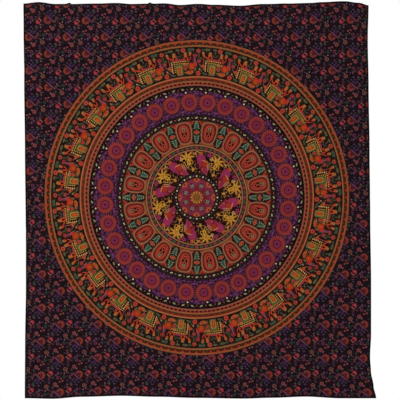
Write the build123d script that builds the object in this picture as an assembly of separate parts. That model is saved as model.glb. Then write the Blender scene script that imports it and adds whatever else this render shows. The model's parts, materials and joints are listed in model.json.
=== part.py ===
from build123d import *
import os

# Tapestry wall hanging: one printed cotton cloth with a double-turned hem sewn down all round,
# held on a wall by a row of ball-headed pins.
# Millimetres. +Z is up, +X is right, the wall is the plane y = 0 and the room is on the -Y side.
# The origin is the point where the middle pin's axis meets the wall.

# the cloth
CLOTH_WIDTH = 2100.0
CLOTH_HEIGHT = 2400.0
CLOTH_THICKNESS = 0.4
HEM_WIDTH = 15.0
RAW_EDGE_INSET = 1.6  # how far the turned-under raw edge stops short of the outer fold

# the sewing
THREAD_THICKNESS = 0.3
THREAD_WIDTH = 0.5
SEAM_INSET = 13.0  # from the cloth's edge to the stitch line
SEAM_END_INSET = 2.0  # from a cloth corner to the end of a stitch line

# the pins, from left to right: where the cloth's top edge is held
PIN_X = (-1035.0, -780.0, -480.0, -285.0, 0.0, 450.0, 900.0)
PIN_DROP = 8.0  # from the top edge down to the pins' axes
HEAD_RADIUS = 3.2
HEAD_SEAT_RADIUS = 2.0  # the flat under the ball that presses on the cloth
SHANK_RADIUS = 0.6
SHANK_LENGTH = 9.0
POINT_LENGTH = 3.0
POINT_RADIUS = 0.05
ROOT_RADIUS = 0.8  # the shank's thicker root, moulded into the head
ROOT_DEPTH = 3.5  # how far the root reaches into the head

# the fold line that the cloth lifts about runs along the hem's lower edge
FOLD_GAP = 0.5  # slit between the pinned band and the cloth that hangs from it
SIDE_SEAM_START = 5.0  # from the fold line down to the first side stitches

# heights
TOP_Z = PIN_DROP
BOTTOM_Z = TOP_Z - CLOTH_HEIGHT
FOLD_Z = TOP_Z - HEM_WIDTH
BAND_BOTTOM_Z = FOLD_Z + FOLD_GAP / 2
DROP_TOP_Z = FOLD_Z - FOLD_GAP / 2
BOTTOM_HEM_TOP_Z = BOTTOM_Z + HEM_WIDTH

# depths, from the wall out to the room: bobbin thread, hem's back layer, turned-under layer, face
HEM_BACK_Y = -THREAD_THICKNESS
HEM_MID_Y = HEM_BACK_Y - CLOTH_THICKNESS
FACE_BACK_Y = HEM_MID_Y - CLOTH_THICKNESS
FACE_Y = FACE_BACK_Y - CLOTH_THICKNESS

# the outer fold carries the cloth from its face round to the hem's back layer
FOLD_RADIUS = (HEM_BACK_Y - FACE_Y) / 2
FOLD_INNER_RADIUS = FOLD_RADIUS - CLOTH_THICKNESS
FOLD_Y = HEM_BACK_Y - FOLD_RADIUS

HALF_WIDTH = CLOTH_WIDTH / 2
FACE_HALF_WIDTH = HALF_WIDTH - FOLD_RADIUS


def block(x_range, y_range, z_range):
    """A plain block between three pairs of planes."""
    low = [min(pair) for pair in (x_range, y_range, z_range)]
    size = [abs(b - a) for a, b in (x_range, y_range, z_range)]
    return Pos(*low) * Box(*size, align=(Align.MIN, Align.MIN, Align.MIN))


def hem_section(width):
    """Section of the folded hem: x runs inward from the cloth's edge, y is depth.

    The outer fold is a half ring, the back layer and the turned-under layer lie against each
    other, and a half round joins them at the inner fold.
    """
    inner = width - CLOTH_THICKNESS
    outline = [
        ThreePointArc((FOLD_RADIUS, FACE_Y), (0, FOLD_Y), (FOLD_RADIUS, HEM_BACK_Y)),
        Line((FOLD_RADIUS, HEM_BACK_Y), (inner, HEM_BACK_Y)),
        ThreePointArc((inner, HEM_BACK_Y), (width, HEM_MID_Y), (inner, FACE_BACK_Y)),
        Line((inner, FACE_BACK_Y), (RAW_EDGE_INSET, FACE_BACK_Y)),
        Line((RAW_EDGE_INSET, FACE_BACK_Y), (RAW_EDGE_INSET, HEM_MID_Y)),
        Line((RAW_EDGE_INSET, HEM_MID_Y), (FOLD_RADIUS, HEM_MID_Y)),
        ThreePointArc(
            (FOLD_RADIUS, HEM_MID_Y),
            (FOLD_RADIUS - FOLD_INNER_RADIUS, FOLD_Y),
            (FOLD_RADIUS, FACE_BACK_Y),
        ),
        Line((FOLD_RADIUS, FACE_BACK_Y), (FOLD_RADIUS, FACE_Y)),
    ]
    return make_face(outline)


def side_hem(side):
    """The folded hem down one side: side is -1 on the left and 1 on the right."""
    edge = Plane(origin=(-HALF_WIDTH, 0, BOTTOM_HEM_TOP_Z))
    left = extrude(edge * hem_section(HEM_WIDTH), amount=DROP_TOP_Z - BOTTOM_HEM_TOP_Z)
    return left if side < 0 else mirror(left, about=Plane.YZ)


def bottom_hem():
    """The folded hem along the bottom edge, drawn at its right end and run to the left."""
    edge = Plane(origin=(HALF_WIDTH, 0, BOTTOM_Z), x_dir=(0, 0, 1), z_dir=(-1, 0, 0))
    return extrude(edge * hem_section(HEM_WIDTH), amount=CLOTH_WIDTH)


def top_hem():
    """The folded hem along the top edge, drawn at its left end and run to the right."""
    edge = Plane(origin=(-HALF_WIDTH, 0, TOP_Z), x_dir=(0, 0, -1), z_dir=(1, 0, 0))
    return extrude(edge * hem_section(TOP_Z - BAND_BOTTOM_Z), amount=CLOTH_WIDTH)


def needle(x):
    """A pin's steel: a root that tapers through the cloth, a plain shank and a point."""
    root_end = FACE_Y - ROOT_DEPTH
    shoulder = SHANK_LENGTH + POINT_LENGTH
    profile = Polyline(
        (0, root_end),
        (ROOT_RADIUS, root_end),
        (ROOT_RADIUS, FACE_Y),
        (SHANK_RADIUS, 0),
        (SHANK_RADIUS, SHANK_LENGTH),
        (POINT_RADIUS, shoulder),
        (0, shoulder),
        close=True,
    )
    return Pos(x, 0, 0) * revolve(make_face(profile), axis=Axis.Y)


def ball_head(x):
    """A pin's moulded head: a ball with a flat seat against the cloth, hollow for the root."""
    centre_y = FACE_Y - (HEAD_RADIUS**2 - HEAD_SEAT_RADIUS**2) ** 0.5
    ball = Pos(x, centre_y, 0) * Sphere(HEAD_RADIUS)
    room_side = block(
        (x - HEAD_RADIUS, x + HEAD_RADIUS),
        (centre_y - HEAD_RADIUS, FACE_Y),
        (-HEAD_RADIUS, HEAD_RADIUS),
    )
    return (ball & room_side) - needle(x)


def thread_along_x(z, y):
    """One thread of a level seam: y is the edge of it that lies nearest the wall."""
    reach = HALF_WIDTH - SEAM_END_INSET
    heights = (z - THREAD_WIDTH / 2, z + THREAD_WIDTH / 2)
    return block((-reach, reach), (y - THREAD_THICKNESS, y), heights)


def thread_down_side(side, y):
    """One thread of a side seam, from just below the fold line to the bottom hem."""
    x = side * (HALF_WIDTH - SEAM_INSET)
    widths = (x - THREAD_WIDTH / 2, x + THREAD_WIDTH / 2)
    return block(widths, (y - THREAD_THICKNESS, y), (BOTTOM_HEM_TOP_Z, FOLD_Z - SIDE_SEAM_START))


def pierced(cloth):
    """The cloth with the tapered holes that the pins' roots open in it."""
    for x in PIN_X:
        cloth = cloth - needle(x)
    return cloth


def face_layer(low_z, high_z):
    """The printed face between two heights."""
    return block((-FACE_HALF_WIDTH, FACE_HALF_WIDTH), (FACE_Y, FACE_BACK_Y), (low_z, high_z))


nodes = {
    "top_band": pierced(face_layer(BAND_BOTTOM_Z, TOP_Z - FOLD_RADIUS)),
    "top_hem": pierced(top_hem()),
    "top_needle_thread": thread_along_x(TOP_Z - SEAM_INSET, FACE_Y),
    "top_bobbin_thread": thread_along_x(TOP_Z - SEAM_INSET, 0.0),
    "printed_panel": face_layer(BOTTOM_Z + FOLD_RADIUS, DROP_TOP_Z),
    "bottom_hem": bottom_hem(),
    "bottom_needle_thread": thread_along_x(BOTTOM_Z + SEAM_INSET, FACE_Y),
    "bottom_bobbin_thread": thread_along_x(BOTTOM_Z + SEAM_INSET, 0.0),
}
for name, side in (("left", -1), ("right", 1)):
    nodes[f"{name}_hem"] = side_hem(side)
    nodes[f"{name}_needle_thread"] = thread_down_side(side, FACE_Y)
    nodes[f"{name}_bobbin_thread"] = thread_down_side(side, 0.0)
for number, pin_x in enumerate(PIN_X, start=1):
    nodes[f"pin_{number}_head"] = ball_head(pin_x)
    nodes[f"pin_{number}_needle"] = needle(pin_x)

os.makedirs("parts", exist_ok=True)
for name, solid in nodes.items():
    export_step(solid, f"parts/{name}.step")
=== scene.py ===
import bpy
import json
import math
import numpy as np
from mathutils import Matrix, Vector


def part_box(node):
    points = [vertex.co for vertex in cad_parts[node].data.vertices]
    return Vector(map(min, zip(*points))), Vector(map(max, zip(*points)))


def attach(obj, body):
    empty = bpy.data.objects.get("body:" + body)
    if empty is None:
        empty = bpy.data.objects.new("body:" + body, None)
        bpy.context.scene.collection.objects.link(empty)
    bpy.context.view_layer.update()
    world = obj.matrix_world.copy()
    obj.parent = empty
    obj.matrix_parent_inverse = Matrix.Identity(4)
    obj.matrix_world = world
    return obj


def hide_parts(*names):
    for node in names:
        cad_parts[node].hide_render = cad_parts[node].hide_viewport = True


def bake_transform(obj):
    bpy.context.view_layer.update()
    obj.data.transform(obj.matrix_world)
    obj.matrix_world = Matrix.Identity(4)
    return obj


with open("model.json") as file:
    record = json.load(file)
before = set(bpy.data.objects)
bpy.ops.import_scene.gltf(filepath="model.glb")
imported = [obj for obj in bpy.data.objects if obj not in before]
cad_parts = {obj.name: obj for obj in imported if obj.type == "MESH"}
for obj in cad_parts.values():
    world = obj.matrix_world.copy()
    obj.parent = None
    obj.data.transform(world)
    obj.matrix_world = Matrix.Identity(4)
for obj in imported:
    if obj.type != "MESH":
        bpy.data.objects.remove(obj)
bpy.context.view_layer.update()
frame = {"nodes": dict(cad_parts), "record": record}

# --- The cloth --------------------------------------------------------------------------------
# One width of light cotton, woven plain, screen printed on one face and pinned up by its top edge.
# It hangs nearly flat: its waves come from a cloth simulation, and its uneven outline, with a bottom
# corner that flares, from tables of each edge.

MM = 0.001
panel_low, panel_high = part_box("printed_panel")
band_low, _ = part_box("top_band")
hem_low, hem_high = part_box("top_hem")
foot_low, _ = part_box("bottom_hem")
CLOTH_LEFT = hem_low[0]
CLOTH_RIGHT = hem_high[0]
CLOTH_TOP = hem_high[2]
CLOTH_BOTTOM = foot_low[2]
CLOTH_WIDE = CLOTH_RIGHT - CLOTH_LEFT
CLOTH_TALL = CLOTH_TOP - CLOTH_BOTTOM
FACE_Y = panel_low[1]
CLOTH_THICK = panel_high[1] - panel_low[1]
PIN_PLACES = [m["pos_m"] for m in frame["record"]["mounts"]]
WAVE_DEPTH = 15 * MM

# how far each edge lies from a straight line: (distance along it, outward offset), in millimetres
TOP_EDGE = ((-1050, 0), (-958, 9), (-860, -3), (-790, -2), (-775, 7), (-760, -3), (-620, 0), (-480, 3),
            (-400, -3), (-300, -1), (-285, 8), (-270, -1), (-200, 1), (-100, -9), (0, -2), (110, -8),
            (262, -14), (400, -3), (550, 0), (690, 3), (760, 8), (900, 14), (990, 4), (1050, -12))
BOTTOM_EDGE = ((-1050, 6), (-880, 9), (-700, -3), (-460, -9), (-250, -3), (0, 4), (280, 8), (450, 3),
               (650, -4), (850, 6), (1050, 6))
LEFT_EDGE = ((8, 12), (-150, 10), (-450, 6), (-900, 1), (-1300, -3), (-1700, -5), (-2100, 1), (-2392, 2))
RIGHT_EDGE = ((8, -8), (-200, -13), (-500, -8), (-900, -2), (-1300, 2), (-1700, 7), (-2000, 7),
              (-2150, 1), (-2230, 6), (-2320, 22), (-2392, 38))

GRID_COLUMNS = 204
GRID_ROWS = 234
COARSE_COLUMNS = 52
COARSE_ROWS = 59
DRAPE_SLACK = 0.0035  # how much narrower than its cut the cloth starts, so that it has to wave
DRAPE_FRAMES = 60
DRAPE_STEPS = 6  # steps of the simulation in each frame
START_RIPPLE = 3 * MM
WALL_GAP = 1 * MM
COTTON_WEIGHT = 0.12  # kilograms to the square metre
YARN_STIFF = 25
SHEAR_STIFF = 8
BEND_STIFF = 0.4
PINNED_REACH = 16 * MM  # how far round a pin the cloth is drawn to the wall
# how fast each edge's waver dies away into the cloth: the higher the power, the sooner
TOP_FADE = 14
FOOT_FADE = 8
LEFT_FADE = 2
RIGHT_FADE = 6


def smooth_table(table, at):
    """Read a given table of (place, value) with rounded steps between its points."""
    pairs = sorted(table)
    places = np.array([p for p, _ in pairs], float)
    values = np.array([v for _, v in pairs], float)
    at = np.clip(at, places[0], places[-1])
    k = np.clip(np.searchsorted(places, at, side="right") - 1, 0, len(places) - 2)
    t = (at - places[k]) / (places[k + 1] - places[k])
    return values[k] + (values[k + 1] - values[k]) * t * t * (3 - 2 * t)


def grid_mesh(name, points, columns, rows):
    """A mesh of (columns x rows) quads from an array of points, row by row from the bottom left."""
    mesh = bpy.data.meshes.new(name)
    faces = []
    for row in range(rows):
        for column in range(columns):
            corner = row * (columns + 1) + column
            above = corner + columns + 1
            faces.append((corner, corner + 1, above + 1, above))
    mesh.from_pydata(points.reshape(-1, 3).tolist(), [], faces)
    return mesh


def flat_points(columns, rows):
    """The flat cloth's grid in its own plane."""
    across = np.linspace(CLOTH_LEFT, CLOTH_RIGHT, columns + 1)
    up = np.linspace(CLOTH_BOTTOM, CLOTH_TOP, rows + 1)
    grid = np.zeros((rows + 1, columns + 1, 3))
    grid[..., 0] = across[None, :]
    grid[..., 1] = FACE_Y
    grid[..., 2] = up[:, None]
    return grid


def hang(flat):
    """Let the cloth hang from its pins against the wall, and return its depth at each grid point."""
    rows, columns = flat.shape[0] - 1, flat.shape[1] - 1
    start = flat.copy()
    start[..., 0] *= 1 - DRAPE_SLACK
    start[..., 1] -= START_RIPPLE * (1 + np.sin(9 * flat[..., 0] + 1.3 * np.sin(2 * flat[..., 2])))
    cloth = bpy.data.objects.new("hanging_cloth", grid_mesh("hanging_cloth", start, columns, rows))
    bpy.context.collection.objects.link(cloth)
    cloth.shape_key_add(name="start")
    rest = cloth.shape_key_add(name="cut flat")
    for key_point, place in zip(rest.data, flat.reshape(-1, 3)):
        key_point.co = place
    held = cloth.vertex_groups.new(name="pinned")
    for x, _, z in PIN_PLACES:
        gap = np.hypot(flat[..., 0] - x, flat[..., 2] - z).ravel()
        held.add([int(i) for i in np.argsort(gap)[:2]], 1.0, "REPLACE")
    wall = bpy.data.objects.new("wall", bpy.data.meshes.new("wall"))
    wall.data.from_pydata([(-3, 0, -4), (3, 0, -4), (3, 0, 1), (-3, 0, 1)], [], [(0, 1, 2, 3)])
    bpy.context.collection.objects.link(wall)
    wall.modifiers.new("wall", "COLLISION")
    wall.collision.thickness_outer = WALL_GAP
    cotton = cloth.modifiers.new("cotton", "CLOTH")
    cotton.settings.quality = DRAPE_STEPS
    cotton.settings.mass = COTTON_WEIGHT * CLOTH_WIDE * CLOTH_TALL / flat.shape[0] / flat.shape[1]
    cotton.settings.tension_stiffness = YARN_STIFF
    cotton.settings.compression_stiffness = YARN_STIFF
    cotton.settings.shear_stiffness = SHEAR_STIFF
    cotton.settings.bending_stiffness = BEND_STIFF
    cotton.settings.vertex_group_mass = "pinned"
    cotton.settings.rest_shape_key = rest
    cotton.collision_settings.distance_min = WALL_GAP
    cotton.point_cache.frame_end = DRAPE_FRAMES
    for number in range(1, DRAPE_FRAMES + 1):
        bpy.context.scene.frame_set(number)
    seen = cloth.evaluated_get(bpy.context.evaluated_depsgraph_get())
    hung = np.array([v.co[:] for v in seen.data.vertices]).reshape(flat.shape)
    bpy.context.scene.frame_set(1)
    bpy.data.objects.remove(cloth)
    bpy.data.objects.remove(wall)
    return hung[..., 1]


def finer(coarse, columns, rows):
    """Resample a coarse grid of depths on the fine one with rounded steps, both ways."""
    for count, axis in ((rows, 0), (columns, 1)):
        coarse = np.moveaxis(coarse, axis, 0)
        last = coarse.shape[0] - 1
        at = np.linspace(0, last, count + 1)
        k = np.clip(at.astype(int), 0, last - 1)
        t = (at - k).reshape((-1,) + (1,) * (coarse.ndim - 1))
        before, here = coarse[np.clip(k - 1, 0, last)], coarse[k]
        there, after = coarse[k + 1], coarse[np.clip(k + 2, 0, last)]
        coarse = here + 0.5 * t * (there - before + t * (
            2 * before - 5 * here + 4 * there - after + t * (3 * (here - there) + after - before)))
        coarse = np.moveaxis(coarse, 0, axis)
    return coarse


def shaped(flat, depth):
    """Move the flat grid to the hung cloth: its outline from the edge tables, its depth as given."""
    x, z = flat[..., 0], flat[..., 2]
    right_share = (x - CLOTH_LEFT) / CLOTH_WIDE
    up_share = (z - CLOTH_BOTTOM) / CLOTH_TALL
    left = -smooth_table(LEFT_EDGE, z / MM) * MM
    right = smooth_table(RIGHT_EDGE, z / MM) * MM
    top = smooth_table(TOP_EDGE, x / MM) * MM
    bottom = -smooth_table(BOTTOM_EDGE, x / MM) * MM
    near_left = (1 - right_share) ** LEFT_FADE
    near_right = right_share ** RIGHT_FADE
    near_top = up_share ** TOP_FADE
    near_bottom = (1 - up_share) ** FOOT_FADE
    hung = np.empty_like(flat)
    hung[..., 0] = x + left * near_left + right * near_right
    hung[..., 2] = z + top * near_top + bottom * near_bottom
    off_wall = np.clip(FACE_Y - depth, 0, None)
    soft_limit = WAVE_DEPTH * np.tanh(off_wall / WAVE_DEPTH)
    pinned = np.ones_like(x)
    for px, _, pz in PIN_PLACES:
        gap = np.hypot(x - px, z - pz)
        pinned *= 1 - np.exp(-((gap / PINNED_REACH) ** 2))
    hung[..., 1] = FACE_Y - soft_limit * pinned
    return hung


flat_grid = flat_points(GRID_COLUMNS, GRID_ROWS)
depth_grid = finer(hang(flat_points(COARSE_COLUMNS, COARSE_ROWS)), GRID_COLUMNS, GRID_ROWS)
hung_grid = shaped(flat_grid, depth_grid)

hung_mesh = grid_mesh("printed_cloth", hung_grid, GRID_COLUMNS, GRID_ROWS)
cloth = bpy.data.objects.new("printed_cloth", hung_mesh)
bpy.context.collection.objects.link(cloth)
cloth.data.shade_smooth()

# the flat cut, in metres, which the print follows
cut = cloth.data.uv_layers.new(name="flat cut")
corner_points = np.empty(len(cloth.data.loops), int)
cloth.data.loops.foreach_get("vertex_index", corner_points)
flat_places = flat_grid.reshape(-1, 3)[corner_points][:, [0, 2]]
cut.data.foreach_set("uv", flat_places.ravel())


def linear(hex_colour):
    """An sRGB hex colour as the linear colour that a shader takes."""
    parts = [int(hex_colour[i:i + 2], 16) / 255 for i in (1, 3, 5)]
    return tuple(c / 12.92 if c <= 0.04045 else ((c + 0.055) / 1.055) ** 2.4 for c in parts) + (1.0,)


def add(tree, kind, *inputs, **settings):
    """Add a node with its settings, fill or link its inputs in order, and return its outputs."""
    node = tree.nodes.new(kind)
    for name, value in settings.items():
        setattr(node, name, value)
    for socket, value in zip(node.inputs, inputs):
        if isinstance(value, bpy.types.NodeSocket):
            tree.links.new(value, socket)
        elif value is not None:
            socket.default_value = value
    return node.outputs


def new_group(name, takes, gives):
    """A node group with named sockets: returns its tree, what it is given and what it gives."""
    kinds = {"c": "NodeSocketColor", "v": "NodeSocketVector", "f": "NodeSocketFloat"}
    tree = bpy.data.node_groups.new(name, "ShaderNodeTree")
    for label, kind in takes.items():
        tree.interface.new_socket(label, in_out="INPUT", socket_type=kinds[kind])
    for label, kind in gives.items():
        tree.interface.new_socket(label, in_out="OUTPUT", socket_type=kinds[kind])
    return tree, tree.nodes.new("NodeGroupInput").outputs, tree.nodes.new("NodeGroupOutput").inputs


# The screens that print the cloth lay one flat colour over another. Each mark is one such patch:
# its place and size are in millimetres on the flat cloth.

EDGE_SOFT = 0.16  # how far the dye bleeds at a mark's edge, as a share of its size


def finish_mark(tree, given, result, measure):
    """Lay the mark's colour over the ground where its measure is under 1, fading over its edge."""
    inside = add(tree, "ShaderNodeMath", measure, -0.5 / EDGE_SOFT, 0.5 / EDGE_SOFT + 0.5,
                 operation="MULTIPLY_ADD")[0]
    mixed = add(tree, "ShaderNodeMix", inside, None, None, None, None, None,
                given["Ground"], given["Colour"], data_type="RGBA")[2]
    tree.links.new(mixed, result["Result"])


def along_axis(tree, given, axis):
    """How far a point lies along one axis of a mark, in half sizes from the mark's middle."""
    part = add(tree, "ShaderNodeMath", given["X"], given[axis + " x"], given[axis + " start"],
               operation="MULTIPLY_ADD")[0]
    return add(tree, "ShaderNodeMath", given["Y"], given[axis + " y"], part, operation="MULTIPLY_ADD")[0]


AXES = {"Across x": "f", "Across y": "f", "Across start": "f", "Along x": "f", "Along y": "f",
        "Along start": "f"}

# a filled oval
OVAL, given, result = new_group("oval mark", {"Ground": "c", "Colour": "c", "X": "f", "Y": "f", **AXES},
                                {"Result": "c"})
across = along_axis(OVAL, given, "Across")
along = along_axis(OVAL, given, "Along")
square = add(OVAL, "ShaderNodeMath", across, across, operation="MULTIPLY")[0]
measure = add(OVAL, "ShaderNodeMath", along, along, square, operation="MULTIPLY_ADD")[0]
finish_mark(OVAL, given, result, measure)

# the outline of an oval, drawn with a line of that share of its size
LOOP, given, result = new_group(
    "loop mark", {"Ground": "c", "Colour": "c", "X": "f", "Y": "f", **AXES, "Line": "f"}, {"Result": "c"})
across = along_axis(LOOP, given, "Across")
along = along_axis(LOOP, given, "Along")
square = add(LOOP, "ShaderNodeMath", across, across, operation="MULTIPLY")[0]
square = add(LOOP, "ShaderNodeMath", along, along, square, operation="MULTIPLY_ADD")[0]
off_line = add(LOOP, "ShaderNodeMath", square, 1.0, operation="SUBTRACT")[0]
off_line = add(LOOP, "ShaderNodeMath", off_line, operation="ABSOLUTE")[0]
measure = add(LOOP, "ShaderNodeMath", off_line, given["Line"], operation="DIVIDE")[0]
finish_mark(LOOP, given, result, measure)

# as an oval, with a power that squares it up (above 2) or draws it in to a diamond (below 2)
SQUARED, given, result = new_group(
    "squared mark", {"Ground": "c", "Colour": "c", "X": "f", "Y": "f", **AXES, "Power": "f"}, {"Result": "c"})
across = along_axis(SQUARED, given, "Across")
across = add(SQUARED, "ShaderNodeMath", across, operation="ABSOLUTE")[0]
across = add(SQUARED, "ShaderNodeMath", across, given["Power"], operation="POWER")[0]
along = along_axis(SQUARED, given, "Along")
along = add(SQUARED, "ShaderNodeMath", along, operation="ABSOLUTE")[0]
along = add(SQUARED, "ShaderNodeMath", along, given["Power"], operation="POWER")[0]
measure = add(SQUARED, "ShaderNodeMath", across, along, operation="ADD")[0]
finish_mark(SQUARED, given, result, measure)

# a round flower with a petalled edge: so many petals, cut so deep
FLOWER, given, result = new_group(
    "flower mark", {"Ground": "c", "Colour": "c", "X": "f", "Y": "f", "Centre x": "f", "Centre y": "f",
                    "Radius": "f", "Petals": "f", "Depth": "f"}, {"Result": "c"})
off_x = add(FLOWER, "ShaderNodeMath", given["X"], given["Centre x"], operation="SUBTRACT")[0]
off_y = add(FLOWER, "ShaderNodeMath", given["Y"], given["Centre y"], operation="SUBTRACT")[0]
angle = add(FLOWER, "ShaderNodeMath", off_x, off_y, operation="ARCTAN2")[0]
petal_angle = add(FLOWER, "ShaderNodeMath", angle, given["Petals"], operation="MULTIPLY")[0]
wave = add(FLOWER, "ShaderNodeMath", petal_angle, operation="COSINE")[0]
edge = add(FLOWER, "ShaderNodeMath", wave, given["Depth"], 1.0, operation="MULTIPLY_ADD")[0]
edge = add(FLOWER, "ShaderNodeMath", edge, given["Radius"], operation="MULTIPLY")[0]
square = add(FLOWER, "ShaderNodeMath", off_x, off_x, operation="MULTIPLY")[0]
square = add(FLOWER, "ShaderNodeMath", off_y, off_y, square, operation="MULTIPLY_ADD")[0]
length = add(FLOWER, "ShaderNodeMath", square, 0.5, operation="POWER")[0]
measure = add(FLOWER, "ShaderNodeMath", length, edge, operation="DIVIDE")[0]
finish_mark(FLOWER, given, result, measure)

# a hoop of the mandala between two radii, in one colour or in a ring's pattern
HOOP, given, result = new_group(
    "hoop mark", {"Ground": "c", "Colour": "c", "Radius": "f", "Middle": "f", "Half width": "f"},
    {"Result": "c"})
off_middle = add(HOOP, "ShaderNodeMath", given["Radius"], given["Middle"], operation="SUBTRACT")[0]
off_middle = add(HOOP, "ShaderNodeMath", off_middle, operation="ABSOLUTE")[0]
inside = add(HOOP, "ShaderNodeMath", off_middle, given["Half width"], operation="LESS_THAN")[0]
mixed = add(HOOP, "ShaderNodeMix", inside, None, None, None, None, None, given["Ground"], given["Colour"],
            data_type="RGBA")[2]
HOOP.links.new(mixed, result["Result"])

# where a point lies in one cell of a ring of repeats: millimetres clockwise and outward of its middle
RING, given, result = new_group(
    "ring place", {"Radius": "f", "Turn": "f", "Count": "f", "Phase": "f", "Middle": "f"},
    {"X": "f", "Y": "f"})
cells = add(RING, "ShaderNodeMath", given["Turn"], given["Count"], given["Phase"],
            operation="MULTIPLY_ADD")[0]
cell = add(RING, "ShaderNodeMath", cells, 0.5, -0.5, operation="WRAP")[0]
share = add(RING, "ShaderNodeMath", cell, given["Count"], operation="DIVIDE")[0]
angle = add(RING, "ShaderNodeMath", share, math.tau, operation="MULTIPLY")[0]
clockwise = add(RING, "ShaderNodeMath", angle, given["Middle"], operation="MULTIPLY")[0]
outward = add(RING, "ShaderNodeMath", given["Radius"], given["Middle"], operation="SUBTRACT")[0]
RING.links.new(clockwise, result["X"])
RING.links.new(outward, result["Y"])


INK_DEPTH = 0.66  # the dyes sink into the cotton and dry this much darker than they are mixed


def ink(hex_colour):
    """A printed colour as it dries, in linear values."""
    return tuple(c * INK_DEPTH for c in linear(hex_colour)[:3]) + (1.0,)


def print_marks(tree, ground, place, marks, steps=((0, 0),), reach=None):
    """Print a list of marks, one over another, and again one repeat away where they cross an edge.

    A mark is (x, y, half width, half height, turn in degrees, colour) and may end in a power. Or it
    is ("flower", x, y, radius, petals, depth, colour), or ("loop", x, y, radius, line width, colour).
    """
    for mark in marks:
        kind = mark[0] if isinstance(mark[0], str) else "patch"
        if kind == "loop":
            _, x, y, wide, line, colour = mark
            tall, slant, extra, node_tree = wide, 0, [float(line / wide)], LOOP
        elif kind == "flower":
            _, x, y, wide, petals, depth, colour = mark
            tall = wide
        else:
            x, y, wide, tall, slant, colour = mark[:6]
            extra = [float(power) for power in mark[6:]]
            node_tree = SQUARED if extra else OVAL
        size = max(wide, tall)
        for step_x, step_y in steps:
            at = (float(x + step_x), float(y + step_y))
            if reach and (abs(at[0]) > reach[0] + size or abs(at[1]) > reach[1] + size):
                continue
            if kind == "flower":
                ground = add(tree, "ShaderNodeGroup", ground, ink(colour), *place, at[0], at[1],
                             float(wide), float(petals), float(depth), node_tree=FLOWER)[0]
                continue
            turn = math.radians(slant)
            axes = []
            for slope_x, slope_y in ((math.cos(turn) / wide, math.sin(turn) / wide),
                                     (-math.sin(turn) / tall, math.cos(turn) / tall)):
                axes += [slope_x, slope_y, -slope_x * at[0] - slope_y * at[1]]
            ground = add(tree, "ShaderNodeGroup", ground, ink(colour), *place, *axes, *extra,
                         node_tree=node_tree)[0]
    return ground


# The mandala is printed a little narrower than tall, and stands just above the cloth's middle.
MANDALA_AT = (-5.5, -1175.0)
MANDALA_NARROW = 0.967
MARGIN_SIDE = 9.0
MARGIN_TOP = 10.0
MARGIN_BLACK = "#0D0B0C"

PRINT, _, print_result = new_group("mandala print", {}, {"Colour": "c"})
uv = add(PRINT, "ShaderNodeUVMap", uv_map="flat cut")[0]
on_cloth = add(PRINT, "ShaderNodeSeparateXYZ", uv)
right_of = add(PRINT, "ShaderNodeMath", on_cloth[0], 1 / MM, -MANDALA_AT[0], operation="MULTIPLY_ADD")[0]
above = add(PRINT, "ShaderNodeMath", on_cloth[1], 1 / MM, -MANDALA_AT[1], operation="MULTIPLY_ADD")[0]
rounded = add(PRINT, "ShaderNodeMath", right_of, MANDALA_NARROW, operation="DIVIDE")[0]
square = add(PRINT, "ShaderNodeMath", rounded, rounded, operation="MULTIPLY")[0]
square = add(PRINT, "ShaderNodeMath", above, above, square, operation="MULTIPLY_ADD")[0]
radius = add(PRINT, "ShaderNodeMath", square, operation="SQRT")[0]
clock_angle = add(PRINT, "ShaderNodeMath", rounded, above, operation="ARCTAN2")[0]
turn = add(PRINT, "ShaderNodeMath", clock_angle, math.tau, operation="DIVIDE")[0]

# Fine tendrils fill the grounds between the motifs, in two colours that change from place to place.
tendril_noise = add(PRINT, "ShaderNodeTexNoise", uv, None, 1 / (15 * MM), 0.0)[0]
tendril_levels = add(PRINT, "ShaderNodeMath", tendril_noise, 5.0, operation="MULTIPLY")[0]
tendril_levels = add(PRINT, "ShaderNodeMath", tendril_levels, operation="FRACT")[0]
tendrils = add(PRINT, "ShaderNodeMath", tendril_levels, 0.5, 0.17, operation="COMPARE")[0]
tint_noise = add(PRINT, "ShaderNodeTexNoise", uv, None, 1 / (24 * MM), 0.0)[0]
second_tint = add(PRINT, "ShaderNodeMath", tint_noise, 12.0, -5.5, operation="MULTIPLY_ADD")[0]


def tendrilled(ground, first, second):
    """A ground colour with tendrils of two colours over it."""
    tint = add(PRINT, "ShaderNodeMix", second_tint, None, None, None, None, None, ink(first), ink(second),
               data_type="RGBA")[2]
    return add(PRINT, "ShaderNodeMix", tendrils, None, None, None, None, None, ink(ground), tint,
               data_type="RGBA")[2]


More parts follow.
